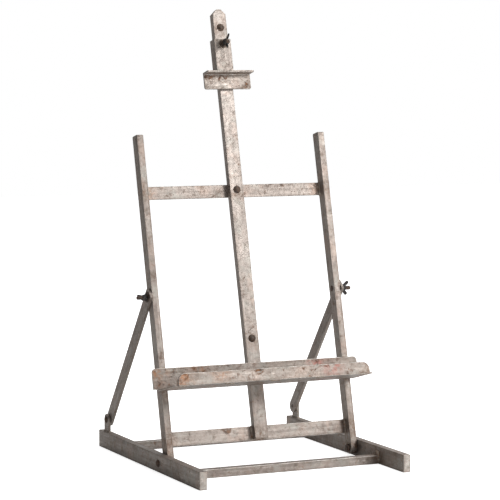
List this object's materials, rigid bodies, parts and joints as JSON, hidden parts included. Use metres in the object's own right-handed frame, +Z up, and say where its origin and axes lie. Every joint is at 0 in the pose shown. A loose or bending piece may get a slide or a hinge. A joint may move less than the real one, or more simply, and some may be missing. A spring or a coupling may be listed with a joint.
{
  "type": "tabletop easel",
  "caption": "Leaning tabletop easel with runners, two posts, a central mast, a lipped canvas tray, a sliding top clamp and rear struts with wing nuts.",
  "frame": {"origin": "bottom centre of the base, on the table, midway between the runners and midway along them", "axes": "+X to the right as a viewer faces the easel's front, -Y to the front, +Z up"},
  "size_m": [0.3476, 0.39, 0.6663],
  "materials": {
    "worn_steel_bar": "bare steel bar, blotched and scuffed, satin",
    "worn_plate": "paler rubbed steel plate with brown rust spots, satin",
    "rusty_fasteners": "dark rusty bolts, nuts and washers, matt",
    "wing_nuts": "dark polished steel, worn on its edges, half gloss"
  },
  "bodies": {
    "base": {"left_runner": "worn_steel_bar", "right_runner": "worn_steel_bar", "runner_end_plates": "worn_plate", "front_crossbar": "worn_steel_bar", "rear_crossbar": "worn_steel_bar", "left_lug": "worn_steel_bar", "right_lug": "worn_steel_bar", "left_pivot_bolt": "rusty_fasteners", "right_pivot_bolt": "rusty_fasteners", "pivot_washers": "rusty_fasteners", "pivot_nuts": "rusty_fasteners", "left_lug_pin": "rusty_fasteners", "right_lug_pin": "rusty_fasteners"},
    "easel_frame": {"left_post": "worn_steel_bar", "right_post": "worn_steel_bar", "top_rail": "worn_steel_bar", "bottom_rail": "worn_steel_bar", "mast": "worn_steel_bar", "tray_back_plate": "worn_plate", "tray_shelf": "worn_plate", "tray_lip": "worn_plate", "stop_bolt": "rusty_fasteners", "rail_bolt": "rusty_fasteners", "lower_mast_bolt": "rusty_fasteners", "mast_nuts": "rusty_fasteners", "post_clamp_bolts": "rusty_fasteners"},
    "canvas_clamp": {"clamp_sleeve": "worn_steel_bar", "clamp_angle": "worn_plate", "clamp_boss": "rusty_fasteners", "clamp_stud": "rusty_fasteners"},
    "clamp_wing": {"clamp_wing_nut": "wing_nuts"},
    "left_strut_arm": {"left_strut": "worn_steel_bar", "left_stud": "rusty_fasteners", "left_washer": "rusty_fasteners"},
    "left_wing": {"left_wing_nut": "wing_nuts"},
    "right_strut_arm": {"right_strut": "worn_steel_bar", "right_stud": "rusty_fasteners", "right_washer": "rusty_fasteners"},
    "right_wing": {"right_wing_nut": "wing_nuts"}
  },
  "joints": [
    {"name": "frame_fold", "type": "hinge", "parent": "base", "child": "easel_frame", "pos_m": [0, -0.044, 0.0127], "axis": [-1, 0, 0], "range_deg": [0, 70]},
    {"name": "left_strut_fold", "type": "hinge", "parent": "base", "child": "left_strut_arm", "pos_m": [-0.155, 0.172, 0.044], "axis": [-1, 0, 0], "range_deg": [0, 119]},
    {"name": "right_strut_fold", "type": "hinge", "parent": "base", "child": "right_strut_arm", "pos_m": [0.155, 0.172, 0.044], "axis": [-1, 0, 0], "range_deg": [0, 119]},
    {"name": "clamp_slide", "type": "slide", "parent": "easel_frame", "child": "canvas_clamp", "axis": [0, 0.2411, 0.9705], "range_m": [-0.145, 0.011]},
    {"name": "clamp_wing_spin", "type": "hinge", "parent": "canvas_clamp", "child": "clamp_wing", "pos_m": [0, 0.08557, 0.61729], "axis": [0, -0.9705, 0.2411], "continuous": true},
    {"name": "left_wing_spin", "type": "hinge", "parent": "left_strut_arm", "child": "left_wing", "pos_m": [-0.159, 0.0141, 0.24659], "axis": [-1, 0, 0], "continuous": true},
    {"name": "right_wing_spin", "type": "hinge", "parent": "right_strut_arm", "child": "right_wing", "pos_m": [0.159, 0.0141, 0.24659], "axis": [1, 0, 0], "continuous": true}
  ],
  "couplings": [
    {"joint": "left_strut_fold", "follows": "frame_fold", "ratio": 1.7},
    {"joint": "right_strut_fold", "follows": "frame_fold", "ratio": 1.7}
  ]
}
